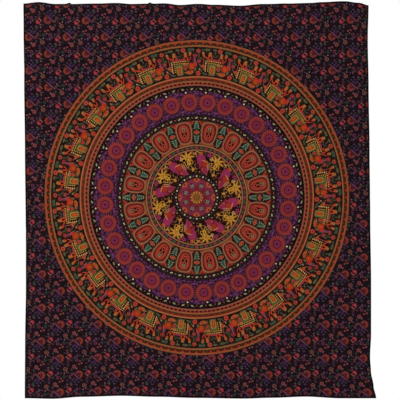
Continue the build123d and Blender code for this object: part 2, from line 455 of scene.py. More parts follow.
# The field outside the mandala: a half-drop repeat of a peony, a bud and sprigs, and the lower
# half is the upper half turned about the mandala's middle.
TILE_WIDE = 230.6
TILE_TALL = 102.0
TILE_AT = (-904.0 - MANDALA_AT[0], -96.0 - MANDALA_AT[1])
FIELD_GROUND = "#150E13"
FIELD_MARKS = (
    (13, 12.6, 36, 2.6, -40, "#84465A"), (18, 2, 30, 1.6, -40, "#6A3A48"), (2, 20, 20, 1.5, -40, "#6A3A48"),
    (20.6, 26, 15, 9, 0, "#42264A"), (1.5, 45, 5.4, 5.4, 0, "#4A3A52"), (24.4, 47, 5.4, 5.4, 0, "#4A3A52"),
    (14, 35.5, 5, 5, 0, "#50384F"), (37.7, 32.6, 5.4, 5.4, 0, "#50384F"), (20.6, 25, 5, 3, 0, "#1E0C22"),
    *((18 * math.cos(a) - 1, 18 * math.sin(a) - 1, 7.4, 3.2, math.degrees(a), "#9C402C")
      for a in np.radians(np.arange(118, 250, 27))),
    *((18 * math.cos(a) - 1, 18 * math.sin(a) - 1, 7.4, 3.2, math.degrees(a), "#8E4040")
      for a in np.radians(np.arange(253, 345, 27))),
    ("loop", -2, -1, 7.6, 2.4, "#8A3038"), (-2, -1, 3, 3, 0, "#5A2434"), (55, 14.5, 6, 11, 30, "#7A4E54"),
    (44.4, -0.8, 6, 8.6, 0, "#7A4E4E"), (56, 13, 3, 7, 30, "#160C10"), (44.4, -1, 3, 5, 0, "#160C10"),
    (47.3, 47, 8, 5, 10, "#343F3D"), (91, 10.7, 8.5, 10, 0, "#38463F"), (44.4, -29.4, 5, 9, 0, "#3E423A"),
    (69, 32.6, 8, 6, 20, "#56324A"), (67, 33, 4, 3, 0, "#1A0C16"), (98.7, 33.5, 5, 5, 0, "#92564C"),
    (107.3, 37.4, 5, 5, 0, "#6A1826"), (-113.8, 39, 5, 5, 0, "#864E46"), (109, 20, 5, 5, 0, "#86484A"),
    (91, 10.7, 4, 7, 0, "#1C2424"), (-100.5, 13.5, 10.5, 9.5, 0, "#70364E"),
    (-100.5, 13.5, 5, 4, 0, "#1E0A16"), (-104, -12, 6, 9, 0, "#643E58"), (110, -14, 6.4, 5.4, 0, "#4C324A"),
    (-91, -2.7, 4.8, 5.7, 0, "#6A4856"), (-100.4, -40.8, 6.7, 4, 0, "#5C4460"),
    (-70, 15, 9, 2.2, -35, "#74484E"), (-48, 32.6, 9.5, 3, 8, "#5E3446"),
    (-49, 19, 9.5, 3.2, -6, "#66384A"), (-50, 45, 4.8, 4.8, 0, "#564454"),
    ("flower", -57.6, -12.2, 14.3, 5, 0.08, "#9C3A42"), (-53, -8, 8, 9, -40, "#4E101A"),
    (-59, -15, 6.5, 4.5, 20, "#B84650"), (-46, 1, 16, 3, -45, "#8E5C58"), (-43, -31, 8.6, 3, 20, "#784E54"),
    (-70, -41, 5.7, 5, 0, "#784E54"), (-43, -45.6, 4.8, 5.7, 0, "#824C4A"),
    (-65, -46, 9.5, 5, 0, "#343E3E"), (-78, 4, 7, 2.2, 30, "#3E4848"), (72, 8, 7, 2, 50, "#3E4848"),
    (63, -12, 9, 1.8, -25, "#5C4250"), ("flower", 29.2, -48.4, 11.4, 6, 0.14, "#944A4C"),
    (29.2, -48.4, 6, 6, 0, "#3E0C12"), (29.2, -48.4, 2.6, 2.6, 0, "#A05850"),
    (82.5, -35, 13.4, 12.4, 0, "#84504A"), (82.5, -35, 9, 8.2, 0, "#1E0E10"),
    (82.5, -35, 4.4, 4, 0, "#9A5A50"), (74, -18, 4.5, 3.6, 0, "#8A605A"), (89, -10, 4, 4, 0, "#8E6E66"),
    (14, -37, 6.4, 4.6, 45, "#82565A"), (-27, -31, 5, 3, 30, "#3E4844"), (-20, 38, 5, 3, -30, "#40484A"),
)
in_lower = add(PRINT, "ShaderNodeMath", above, 0.0, operation="LESS_THAN")[0]
way_up = add(PRINT, "ShaderNodeMath", in_lower, -2.0, 1.0, operation="MULTIPLY_ADD")[0]
field_x = add(PRINT, "ShaderNodeMath", right_of, way_up, -TILE_AT[0], operation="MULTIPLY_ADD")[0]
field_y = add(PRINT, "ShaderNodeMath", above, way_up, -TILE_AT[1], operation="MULTIPLY_ADD")[0]
tile_y = add(PRINT, "ShaderNodeMath", field_y, TILE_TALL / 2, -TILE_TALL / 2, operation="WRAP")[0]
row_start = add(PRINT, "ShaderNodeMath", field_y, tile_y, operation="SUBTRACT")[0]
dropped = add(PRINT, "ShaderNodeMath", row_start, TILE_WIDE / 2 / TILE_TALL, field_x,
              operation="MULTIPLY_ADD")[0]
tile_x = add(PRINT, "ShaderNodeMath", dropped, TILE_WIDE / 2, -TILE_WIDE / 2, operation="WRAP")[0]
tile_place = (tile_x, tile_y)
half_drop = [(0, 0), (TILE_WIDE, 0), (-TILE_WIDE, 0)]
half_drop += [(sx * TILE_WIDE / 2, sy * TILE_TALL) for sx in (-1, 1) for sy in (-1, 1)]
field_ground = tendrilled(FIELD_GROUND, "#301C2E", "#361E20")
colour = print_marks(PRINT, field_ground, tile_place, FIELD_MARKS, half_drop, (TILE_WIDE / 2, TILE_TALL / 2))


def hoop(ground, inner, outer, filling):
    """Lay a hoop of the mandala over what is printed so far."""
    if isinstance(filling, str):
        filling = ink(filling)
    return add(PRINT, "ShaderNodeGroup", ground, filling, radius, (inner + outer) / 2, (outer - inner) / 2,
               node_tree=HOOP)[0]


def ring_of(count, first_angle, middle, ground, marks, reach_out, folded=False):
    """The filling of a hoop: one cell's marks, repeated right round. Angles run clockwise in degrees."""
    cell = add(PRINT, "ShaderNodeGroup", radius, turn, float(count), -first_angle * count / 360, middle,
               node_tree=RING)
    place = (cell["X"], cell["Y"])
    pitch = math.tau * middle / count
    if folded:
        place = (add(PRINT, "ShaderNodeMath", cell["X"], operation="ABSOLUTE")[0], cell["Y"])
    if isinstance(ground, str):
        ground = ink(ground)
    steps = [(0, 0)] if folded else [(0, 0), (pitch, 0), (-pitch, 0)]
    return print_marks(PRINT, ground, place, marks, steps, None if folded else (pitch / 2, reach_out))


# The edge of the mandala: an orange line, and a band of small red darts with green between them.
EDGE_DARTS = ((0, 9.5, 13, 17, 0, "#A03220", 1.0), (22.3, -9.5, 10, 13, 0, "#4A4426", 1.0))
colour = hoop(colour, 959.5, 962.5, "#150C10")
colour = hoop(colour, 947.0, 959.5, "#9C5434")
colour = hoop(colour, 928.4, 947.0, ring_of(132, 0, 937.7, "#451E12", EDGE_DARTS, 9.3))
colour = hoop(colour, 918.7, 928.4, "#9E603A")

# The elephants: twenty-four of them, feet outward and trunk down, nose to tail with flowers between.
ELEPHANT = (
    # the vines, leaves and flowers between one elephant and the next
    (-98, 44.7, 3.4, 12, 8, "#57553C"), (-87, 24.4, 11, 4.5, -35, "#57553C"),
    (-104, 27, 2.6, 10, -30, "#4A4A36"), (-89, -18, 14, 3, -45, "#8A4C4A"),
    (-92, -41.7, 5, 7, 0, "#9A805A"), (-81, -51, 9, 4, -50, "#665640"), (-58.5, -68, 17, 6, -15, "#56604A"),
    (2.4, -71, 14, 6, 20, "#4C5A44"), (-58.5, -68, 11, 2, -15, "#2C3428"), (31, -67, 4, 5, 0, "#7A443E"),
    (-25, -73, 3.5, 5, 0, "#7A443E"), (-62, -40, 3, 7, 30, "#3A1A14"), (71.5, 80, 18, 8, 0, "#4A5A46"),
    (60, 73, 7, 3, 30, "#4A5A46"), (84, 73, 7, 3, -30, "#4A5A46"), (71.5, 82, 8, 3, 0, "#2E3A32"),
    (-48.4, 79, 15, 7, 0, "#646442"), (-74.8, 75, 9, 7, 0, "#4E5040"), (-74.8, 75, 3, 5, 30, "#2A2C22"),
    (-5.7, 81, 12, 6, 0, "#5E5A44"), (-48, 80, 6, 3, 0, "#3A3E2A"),
    ("flower", 25, 77, 13, 6, 0.12, "#BA4A38"), (25, 77, 4.5, 4.5, 0, "#7E2218"),
    (8.5, 42.7, 15, 2.6, 45, "#56543E"), (-1.6, 65, 3, 13, 10, "#56543E"),
    (-9.8, 42.7, 10, 3, -35, "#56543E"), (20, 33, 7, 2.6, -30, "#4C4A38"),
    ("flower", -101.3, 69, 12, 6, 0.12, "#B24A38"), (-101.3, 69, 4, 5, 0, "#7E241C"),
    ("flower", -97.2, 7, 11, 6, 0.12, "#A8443E"), (-97.2, 7, 4, 4, 0, "#7A2A22"),
    ("flower", -101.3, -67, 15, 8, 0.1, "#BE4434"), (-101.3, -67, 6, 5.5, 0, "#8E2418"),
    # the far legs and the tail
    (-67.7, 6, 2.2, 30, 0, "#A45048"), (-51.4, 28, 19, 4.2, -40, "#B8442E"),
    (61, 21, 19, 3.6, 58, "#B84432"), (-70.7, 48, 8, 14, 8, "#B2562A"), (-73, 59, 7.4, 4.6, 0, "#9C7A4C"),
    (-70, 40, 4, 8, 10, "#C04A2A"), (64.4, 52, 8, 13, -6, "#B25A34"), (65.5, 61.5, 7.4, 4, 0, "#9C7A4C"),
    (62, 42, 4, 7, -10, "#C04A2E"), (-77, 38, 3, 9, 20, "#3A0A08"), (72, 42, 3, 9, -16, "#3A0A08"),
    (-61, 48, 2.4, 10, 0, "#200606"),
    # the near legs
    (-29, 28, 14.6, 18, 0, "#B8422C"), (-32, 47, 10.4, 15, 0, "#BA5A2C"),
    (-30.5, 60, 8.6, 4.8, 0, "#9C7A4C"), (-30, 30.5, 5, 10, 0, "#2E0404"), (-31, 47, 3, 8, 0, "#D0642E"),
    (37, 45, 9.6, 15, 0, "#B8582E"), (37, 59, 8.6, 4.8, 0, "#987650"), (47.5, 20, 4.6, 15, -8, "#B8442E"),
    (28, 21, 4.6, 12, 10, "#B8442E"), (37.4, 22, 5.2, 10, 0, "#2E0404"), (37, 46, 3, 7, 0, "#D0642E"),
    (59.3, 30.5, 4.4, 9.5, -20, "#2E0404"), (51.5, 46, 2.6, 11, 0, "#200606"),
    (-46, 47, 2.6, 10, 4, "#200606"), (-46, 16, 8, 3, -36, "#2E0604"),
    # the belly, the rump and the back
    (3, 17.5, 34, 6, 0, "#B0362A"), (-2, 23, 13, 2.5, 0, "#80466A"), (0, 12.4, 50, 1.8, 0, "#30080A"),
    (-74.8, -24.4, 9, 8, 20, "#BC5A34"), (-66, -27, 12, 8, -45, "#B05E32"),
    (-62.6, -39.6, 18, 6, -45, "#A85A30"), (-66, -19, 10, 5, -50, "#B8422E"),
    (-70, -31, 7, 2, -45, "#4A120A"), (45, -6, 2.6, 11, -40, "#9E7C52"),
    # the trunk, curling up to the feet
    (91.9, -6, 9, 18, 0, "#B83028"), (90.5, 14.2, 8.4, 20, 6, "#8A4656"), (86, 20, 2.4, 14, 8, "#4E2430"),
    (93.9, 40.7, 13, 11, 0, "#B4423E"), ("loop", 94, 40.7, 7.4, 3.4, "#5A1416"),
    (102, -12, 2.2, 18, 12, "#B05A56"),
    # the head, the jaw and the ear
    (93.9, -42.7, 6, 12, -20, "#6E5E48"), (59.3, -59, 24, 13.5, 8, "#AE5A30"),
    (61.4, -57, 12, 5, -30, "#B83E20"), (60, -49, 16, 2, 10, "#3A1008"), (33, -58, 13, 2.6, 6, "#9E7640"),
    (56, -22, 11, 21, 12, "#B06A32"), (66, -22, 18, 22, 0, "#3E100A"), (68, -22, 16, 20, 0, "#BC4024"),
    (70, -22, 12, 15.5, 0, "#C8481E"), (81.7, -20.3, 15, 17, 0, "#C03420"),
    (75.6, -33.5, 14, 9, 10, "#C0541C"), ("loop", 70, -22, 14, 2.4, "#7A1A10"),
    (64, -7, 9, 3, 30, "#B83A2A"), (78, -17, 5, 4.4, 0, "#D84E2A"), (88, -33, 2.6, 2.6, 0, "#2A0806"),
    # the saddle cloth: a dark edging dotted with gold, a green frame and an orange panel
    (-45, -24, 12.4, 38, 0, "#3A140A", 8), (-6, 3, 49, 10.6, 0, "#3A140A", 8),
    (28, -9, 13, 8, 0, "#A86234", 6), (-8.6, -37, 23.6, 30, 0, "#5A6430", 8),
    (-9.6, -43, 16.4, 25, 0, "#B87E44", 6), (-10, -45, 10.4, 21, 0, "#7E2E12", 4),
    (-10.5, -46, 6.8, 18, 0, "#C8581E"), (-8, -70, 24, 3.2, 8, "#8A6438"),
    (30, -31, 12, 17, 0, "#B8705A", 1.6), (30, -31, 9, 14, 0, "#3A0A08", 1.6),
    (30, -32, 6, 9.6, 0, "#C83828", 1.6),
    *((-54 + 11.2 * k, 9.6, 3.5, 3.5, 0, "#DCAE62") for k in range(9)),
    *((-48.4 + 11.2 * k, -2.4, 3.5, 3.5, 0, "#D09A50") for k in range(8)),
    *((-54.5, -3 - 12 * k, 3.5, 3.8, 0, "#E8C07A") for k in range(5)),
    *((-38, -14 - 12 * k, 3.5, 3.8, 0, "#D09A50") for k in range(4)),
)
colour = hoop(colour, 738.0, 918.7, ring_of(24, 7.93, 823.5, tendrilled("#170908", "#3C3C2C", "#47201A"),
                                            ELEPHANT, 91))

# Inside the elephants: an orange line, a band of red darts, and a row of dark red squares.
INNER_DARTS = ((0, 9.2, 14, 16, 0, "#8C241A", 1.0), (19, -9.2, 14, 13, 0, "#46321A", 1.6))
SQUARES = ((0, 0, 8.8, 5.4, 0, "#46100E", 6),)
colour = hoop(colour, 729.8, 738.6, "#B26A42")
colour = hoop(colour, 711.4, 729.8, ring_of(120, 0, 720.6, "#6A2E1C", INNER_DARTS, 9.2))
colour = hoop(colour, 702.4, 711.4, "#A25C3C")
colour = hoop(colour, 689.0, 702.4, ring_of(164, 0, 695.6, "#9C4630", SQUARES, 11))
colour = hoop(colour, 680.5, 689.0, "#985542")

# The outer vine: cream leaves tilted one way and the other in turn, with a pink bud between.
OUTER_VINE = (
    (-28.8, 1, 9.6, 4.4, 26, "#ACA878"), (28.8, 1, 9.6, 4.4, -20, "#A6A072"),
    (-28.8, 2, 6, 1.0, 26, "#5A5434"), (28.8, 2, 6, 1.0, -20, "#5A5434"), (0, -1, 7.6, 3, 62, "#984A50"),
    (57.6, -1, 7.6, 3, -58, "#984A50"), (14.4, -9, 5, 2.2, 20, "#46382C"),
    (-14.4, 9, 5, 2.2, 20, "#46382C"), (43, -9, 5, 2.2, -20, "#5A3A2E"), (-43, 9, 5, 2.2, -20, "#5A3A2E"),
    (14, 8, 4, 2, -30, "#6A3A38"), (-14, -8, 4, 2, -30, "#4A4632"),
)
colour = hoop(colour, 640.0, 679.0, ring_of(36, 0, 660.0, "#1A0E0C", OUTER_VINE, 19))

# The rosettes: thirty-two scalloped discs on dark plum, with small violet flowers above and below.
ROSETTE_RING = (
    (39, 52, 19, 8, 0, "#662C54"), (11, 64, 12, 4.6, 0, "#543456"), (36, 66, 8, 4.6, 0, "#6E4460"),
    (54, 64, 8, 5, 0, "#543456"), (70, 54, 10, 7, 0, "#642C5A"), (54, 30, 7, 13, 0, "#582C4A"),
    (57, 0, 4, 10, 0, "#4E2A46"), (-48, -54, 23.5, 8, 0, "#662C54"), (-72, -48, 9, 6, 0, "#5A2E52"),
    (-55, -32, 6, 11, 0, "#582C4A"), (-54, -69, 8, 5, 0, "#6A4260"), (-26, -66, 8, 5, 0, "#582C4A"),
    (-8, -65, 12, 5, 0, "#603258"), (21, -66, 9, 5, 0, "#6A4262"), (40, -62, 6, 5, 0, "#5E4450"),
    (-30, -48, 6, 4, 30, "#6E3A6A"), (-38, 52, 7, 5, 0, "#6E3A6E"), (30, 44, 6, 3, -30, "#8C5A86"),
    (48, 56, 5, 3, 20, "#7C5474"), (-48, -54, 9, 2.4, 0, "#7C5474"), (-57, 22, 4, 8, 0, "#5E3C5A"),
    (-40, -60, 3, 3, 0, "#240A20"), (28, 56, 3, 3, 0, "#240A20"), (62, 46, 3, 3, 0, "#240A20"),
    (-60, -44, 3, 3, 0, "#240A20"), (0, 0, 54, 54, 0, "#22060E"), (-16, 61, 10, 10, 0, "#160608"),
    (-16, 61, 5, 5, 0, "#DCCFA6"), ("flower", 0, 0, 49, 24, 0.1, "#A84C46"),
    ("flower", 0, 0, 44, 24, 0.09, "#963034"), ("loop", 0, 0, 34, 2.2, "#641418"),
    ("loop", 0, 0, 31, 2.0, "#A84438"), (0, 0, 28, 28, 0, "#420C1C"), ("loop", 0, 0, 20, 3.6, "#96405E"),
    (0, 0, 15.8, 15.8, 0, "#862E50"), (0, 0, 6.6, 6.6, 0, "#460814"),
)
colour = hoop(colour, 498.4, 652.0, ring_of(32, 6.84, 579.8, tendrilled("#220A1C", "#56264A", "#401E38"),
                                            ROSETTE_RING, 77))
colour = hoop(colour, 650.0, 654.0, "#241C16")
colour = hoop(colour, 496.4, 501.0, "#2E281E")

# The inner vine, and a thin line inside it.
INNER_VINE = (
    (0, 1, 9.4, 4.4, 24, "#BEBA8C"), (27.2, 1, 8, 3.4, -34, "#9A4E5C"), (0, 1, 6, 1.0, 24, "#5A583C"),
    (13.6, -8, 4.6, 2.2, 0, "#4C4634"), (-13.6, 8, 4.6, 2.2, 0, "#4C4634"),
)
colour = hoop(colour, 469.0, 498.4, ring_of(56, 0, 484.5, "#1E1511", INNER_VINE, 15))
colour = hoop(colour, 465.0, 469.6, "#5A3224")

# Leaves with an eye at the waist stand between cartouches. One half is drawn, and mirrored.
LEAF_AND_CARTOUCHE = (
    (29, 72, 22, 31, 0, "#A64634", 1.0), (30, 72, 15, 22, 0, "#9A281C", 1.0),
    (30, 70, 7, 10, 0, "#5E140C", 1.0), (37, -76, 22, 27, 0, "#96462C", 1.0),
    (0, 43, 20.5, 33, 0, "#1C0E08", 1.4), (0, 43, 15.4, 31, 0, "#3A4E3A", 1.3),
    (0, -41, 21, 29, 0, "#1C0E08", 1.5), (0, -39, 16, 27, 0, "#3A4E3A", 1.5),
    *((11.4 - 2.6 * k, 27 + 12.5 * k, 8.6 - k, 2.8, -38, "#86907A") for k in range(4)),
    *((13 - 2.4 * k, 21 + 12.5 * k, 6.6 - k, 1.7, -38, "#142018") for k in range(4)),
    *((12.4 - 1.6 * k, -24 - 12.0 * k, 8.4 - k, 2.8, 34, "#86907A") for k in range(4)),
    *((13.6 - 1.6 * k, -18 - 12.0 * k, 6.4 - k, 1.7, 34, "#142018") for k in range(4)),
    (0, 36, 6, 22, 0, "#31503A", 1.5), (0, -34, 6.6, 19, 0, "#31503A", 1.5), (0, 66, 3.4, 8, 0, "#8A7E50"),
    (0, -62, 4.4, 6, 0, "#8A6E40"), (0, 0, 19.6, 11.4, 0, "#B8644C", 1.7),
    (0, 0, 14, 7.8, 0, "#5E180E", 1.8), (0, 0, 10, 5.4, 0, "#C84A28"), (25, 18, 2.6, 9, -14, "#5A4632"),
    (26, -14, 2.6, 9, 16, "#5E4230"), (77.5, 0, 49, 68, 0, "#B06E50", 2.9),
    (77.5, 0, 41.5, 60.5, 0, "#260A06", 2.9), (77.5, 0, 36, 55.5, 0, "#9A3226", 2.7),
    (77.5, 0, 32.6, 52, 0, "#4A100C", 2.6), (77.5, 0, 30, 49.5, 0, "#B0402E", 2.5),
    (77.5, 0, 18.6, 42.5, 0, "#C0543C", 2.4), (77.5, -1, 16.6, 41, 0, "#2E0A06", 2.3),
    (77.5, 25, 9.4, 12, 0, "#8A8660"), (77.5, 12, 12, 8.6, 0, "#B85A44"),
    (77.5, 12, 6.6, 4.4, 0, "#3E100A"), (77.5, 25, 4, 5, 0, "#2E2A18"), (77.5, -3, 4, 6, 0, "#6A5A3C"),
    (77.5, -21, 11.4, 15, 0, "#B8463A"), (77.5, -19, 5, 8, 0, "#3E0C08"), (77.5, -72, 30, 6, 0, "#9A5C26"),
    (77.5, 76, 18, 4, 0, "#7A4020"),
)
colour = hoop(colour, 325.0, 465.0, ring_of(16, 0, 396.5, tendrilled("#1E0E0A", "#4A2A1E", "#3E1A14"),
                                            LEAF_AND_CARTOUCHE, 70, folded=True))
colour = hoop(colour, 313.0, 321.5, "#A86A44")
colour = hoop(colour, 321.5, 325.0, "#3A160C")

# A string of beads, pink and green in turn, on dark brown.
BEADS = (
    (0, 0, 11.4, 6.6, 0, "#984A52"), (0, 0, 5, 2.4, 0, "#5A1A22"), (29.8, 0, 11.4, 6.6, 0, "#4C5A48"),
    (29.8, 0, 5, 2.4, 0, "#2A3A2C"), (14.9, 0, 2.4, 7, 0, "#5A2A1E"), (-14.9, 0, 2.4, 7, 0, "#5A2A1E"),
)
colour = hoop(colour, 292.5, 313.0, ring_of(32, 0, 303.0, "#1E0A06", BEADS, 10))
colour = hoop(colour, 284.5, 292.5, "#A06846")

# Winged figures and golden ones by turns, in a garden of small flowers.
FIGURES = (
    # flowers and curling stems behind
    (-46, 36, 2.2, 14, 12, "#BE8650"), (-41, 8, 2.4, 14, -8, "#BE8650"),
    ("loop", -42, 60, 9, 4.2, "#D09850"), (-38, 56, 6, 6, 0, "#160808"),
    ("loop", -57, 56, 5, 3.6, "#C8924A"), (-19, -54, 6, 3.4, 0, "#B8946C"),
    (-73.5, -33.7, 10, 3, 10, "#C08444"), ("loop", -69, 64, 6, 4, "#A8483A"),
    ("loop", -70, 42, 5, 3.6, "#A84E3A"), (-56, -12, 2.4, 10, -20, "#9A744A"),
    ("loop", -50, -32, 7, 3.6, "#B07A48"), (-50, -54, 9, 2.2, 10, "#8A6440"),
    (-47, -28, 5, 5, 0, "#160808"), (0, -62, 9, 2.4, -8, "#7A5A3C"), (44, -60, 8, 2.4, 0, "#8A6440"),
    ("flower", 20.6, 58, 12, 5, 0.2, "#963654"), (20.6, 58, 3.6, 3.6, 0, "#4A1020"),
    (-1, 52, 6, 6, 0, "#5E344E"), (36, 64, 6, 2.4, -30, "#983C3A"), (44, -44, 4, 4, 0, "#8A4A2E"),
    (-56, 10, 4, 4, 0, "#8A3A34"),
    # the winged figure: a long magenta body with a red saddle, a flame-coloured head and a pale wing
    (-16, 16, 44, 31, -72, "#1C060A"), (12, -30, 44, 29, -46, "#1C060A"), (-17, 16, 40, 26, -74, "#9A3052"),
    (10, -26, 41, 25.5, -46, "#98304C"), (-21, 42, 12, 17, 12, "#9C3054"),
    (27, -46, 20, 11, -18, "#8E3044"), (-16, -24, 17, 15, 0, "#7E2234"), (-22.4, 60, 9, 10, 0, "#BC5A2C"),
    (-31, 52, 7, 3, -30, "#A84A26"), (-21, 63, 2.4, 2.4, 0, "#2A0A08"), (-24, 22, 6, 16, 14, "#9C3660"),
    (-20, -14, 5, 12, -20, "#983452"), (7, -2, 24, 21.5, 0, "#54101A"), (7, -2, 22, 19.6, 0, "#A83224"),
    (6, -4, 13, 11, 0, "#8E2226"), ("loop", 6, -3, 8, 3, "#C05030"), (0, 17, 17, 2.2, -4, "#DC9C5E"),
    (26, -6, 2.2, 15, 6, "#D0905A"), (16, 16, 8, 4, -30, "#BC6A2E"), (34, -22, 2.4, 13, 16, "#C07A66"),
    (-2, -37, 4.4, 8, 0, "#B8602E"), (38, -58, 3, 6, -10, "#A05464"),
    # the golden creature: a crowned head, a long body and curling limbs
    ("flower", 68, 40, 27, 8, 0.5, "#C08430"), ("flower", 68, 40, 16, 8, 0.4, "#D89A38"),
    (68, 42, 7, 7, 0, "#7A3412"), (68, 42, 4, 4, 0, "#E4AC44"), (73, 12, 14, 25, 4, "#3A1608"),
    (73, 12, 11, 23, 4, "#D09830"), (72.4, 16, 4, 15, 4, "#8A3E14"), (72.4, 22, 1.8, 8, 4, "#E8B450"),
    ("loop", 48, 32, 10, 3.8, "#D49C50"), (48, 26, 9, 7, 0, "#160808"), ("loop", 34, 36, 5, 3.6, "#D0985A"),
    (37, -5.7, 2.4, 24, 22, "#D08E60"), ("loop", 54, 2, 8, 3.8, "#CC944A"), (57, 6, 5, 5, 0, "#160808"),
    (54, -18, 2.4, 9, 16, "#C88A4E"), ("loop", 90, 4, 8, 3.8, "#C88E3A"), (87, 8, 5, 5, 0, "#160808"),
    ("loop", 91, 34, 7, 3.8, "#C88E3A"), (94, 30, 5, 5, 0, "#160808"), (64, -18, 2.4, 10, -20, "#C8924A"),
    (84, -20, 2.4, 10, 24, "#C8924A"), (66, -32, 9, 2.4, -10, "#A8703C"),
    ("flower", -74, -40, 10, 5, 0.4, "#C88A3E"), (37, 50, 3.6, 3.6, 0, "#E8C090"),
    (-4, 66, 6, 2.2, 0, "#7A5A38"),
)
colour = hoop(colour, 143.0, 284.5, ring_of(8, 12.45, 210.5, tendrilled("#160808", "#442618", "#3E1614"),
                                            FIGURES, 72))

# A string of pearls, cream and dusky pink in turn.
PEARLS = (
    (0, 0, 8.2, 8.2, 0, "#0C0908"), (20.3, 0, 7.6, 7.6, 0, "#0C0908"), (0, 0, 5.2, 5.2, 0, "#D0C89C"),
    (20.3, 0, 4.6, 4.6, 0, "#8A565C"), (10.1, 10, 4, 1.8, 0, "#463A34"), (-10.1, 10, 4, 1.8, 0, "#463A34"),
    (10.1, -10, 4, 1.8, 0, "#463A34"), (-10.1, -10, 4, 1.8, 0, "#463A34"),
)
colour = hoop(colour, 116.0, 145.0, ring_of(20, 0, 130.0, "#211917", PEARLS, 15))

# The middle: eight magenta petals, orange tips between them, and a golden boss ringed with dots.
HEART = (
    (31.6, 26, 16, 17, 0, "#B8583A", 1.4), (-31.6, 26, 16, 17, 0, "#B8583A", 1.4),
    (31.6, 27, 5, 6, 0, "#7A2014"), (-31.6, 27, 5, 6, 0, "#7A2014"), (31.6, 4, 3, 14, 0, "#9A3A4C"),
    (-31.6, 4, 3, 14, 0, "#9A3A4C"), (0, -3, 27.5, 37, 0, "#30080F", 1.6),
    (0, -3, 25, 34.5, 0, "#A03A5E", 1.6), (0, -4, 21, 29, 0, "#4E0E1C", 1.6),
    (0, -5, 18, 25, 0, "#964050", 1.7), (0, -6, 14.6, 20.5, 0, "#4A141A", 1.8),
    (0, -7, 11.4, 15, 0, "#827A68"), (0, 5, 4, 4, 0, "#3A100E"), (0, -19, 4, 4, 0, "#3A100E"),
    (0, -7, 4, 3, 0, "#3E3A2C"),
)
BOSS_DOTS = ((0, 0, 6.4, 6.4, 0, "#4A200C"), (0, 0, 4.6, 4.6, 0, "#D8964A"))
colour = hoop(colour, -1.0, 116.0, ring_of(8, 22.5, 80.5, "#7E2420", HEART, 40))
colour = hoop(colour, -1.0, 42.0, "#4A180C")
colour = hoop(colour, 26.0, 41.0, ring_of(12, 0, 33.0, "#8E4A24", BOSS_DOTS, 8))
colour = hoop(colour, 22.0, 26.5, "#B87038")
colour = hoop(colour, -1.0, 22.0, "#805028")
colour = hoop(colour, -1.0, 8.0, "#9A5A2C")

# The screens stop short of the cloth's edges and leave a black margin all round.
off_centre = add(PRINT, "ShaderNodeMath", on_cloth[0], operation="ABSOLUTE")[0]
past_side = add(PRINT, "ShaderNodeMath", off_centre, CLOTH_RIGHT - MARGIN_SIDE * MM,
                operation="GREATER_THAN")[0]
past_top = add(PRINT, "ShaderNodeMath", on_cloth[1], CLOTH_TOP - MARGIN_TOP * MM, operation="GREATER_THAN")[0]
past_foot = add(PRINT, "ShaderNodeMath", on_cloth[1], CLOTH_BOTTOM + MARGIN_SIDE * MM,
                operation="LESS_THAN")[0]
past_edge = add(PRINT, "ShaderNodeMath", past_side, past_top, operation="MAXIMUM")[0]
past_edge = add(PRINT, "ShaderNodeMath", past_edge, past_foot, operation="MAXIMUM")[0]
colour = add(PRINT, "ShaderNodeMix", past_edge, None, None, None, None, None, colour,
             linear(MARGIN_BLACK), data_type="RGBA")[2]
PRINT.links.new(colour, print_result["Colour"])

# Plain weave: the real threads lie 0.4 mm apart, too fine to show, so they are drawn at 2.4 mm, in relief and
# as painted shade and highlight in the colour, with the thicker slubs that handspun-looking yarn leaves along
# and across the cloth.
WEAVE_PITCH = 2.4
WEAVE_RELIEF = 0.3 * MM
WEAVE, weave_given, weave_result = new_group("plain weave", {"Place": "v"}, {"Shade": "f", "Height": "f"})
thread_turn = add(WEAVE, "ShaderNodeVectorMath", weave_given["Place"], None, None, math.pi / WEAVE_PITCH,
                  operation="SCALE")[0]
thread_wave = add(WEAVE, "ShaderNodeVectorMath", thread_turn, operation="SINE")[0]
wave_parts = add(WEAVE, "ShaderNodeSeparateXYZ", thread_wave)
crossing_height_and_shade = add(WEAVE, "ShaderNodeMath", wave_parts[0], wave_parts[1], operation="MULTIPLY")[0]
slubs = None
for stretch in ((1 / 4, 1 / 70, 1.0), (1 / 70, 1 / 4, 1.0)):
    yarn = add(WEAVE, "ShaderNodeVectorMath", weave_given["Place"], stretch, operation="MULTIPLY")[0]
    noise = add(WEAVE, "ShaderNodeTexNoise", yarn, None, 1.0, 2.0)[0]
    slubs = noise if slubs is None else add(WEAVE, "ShaderNodeMath", slubs, noise, operation="ADD")[0]
handled = add(WEAVE, "ShaderNodeTexNoise", weave_given["Place"], None, 1 / 160, 3.0)[0]
shade = add(WEAVE, "ShaderNodeMapRange", slubs, 0.7, 1.3, 0.84, 1.16)[0]
patches = add(WEAVE, "ShaderNodeMapRange", handled, 0.3, 0.7, 0.94, 1.06)[0]
shade = add(WEAVE, "ShaderNodeMath", shade, patches, operation="MULTIPLY")[0]
# painted shade: the thread crossings darken and lighten the colour by a tenth, as light would on their relief
shade = add(WEAVE, "ShaderNodeMath", crossing_height_and_shade, 0.1, shade, operation="MULTIPLY_ADD")[0]
height = add(WEAVE, "ShaderNodeMath", crossing_height_and_shade, 0.5, slubs, operation="MULTIPLY_ADD")[0]
WEAVE.links.new(shade, weave_result["Shade"])
WEAVE.links.new(height, weave_result["Height"])


def new_material(name):
    """A material with nodes: returns it, its tree and the inputs of its surface shader."""
    material = bpy.data.materials.new(name)
    material.use_nodes = True
    return material, material.node_tree, material.node_tree.nodes["Principled BSDF"].inputs


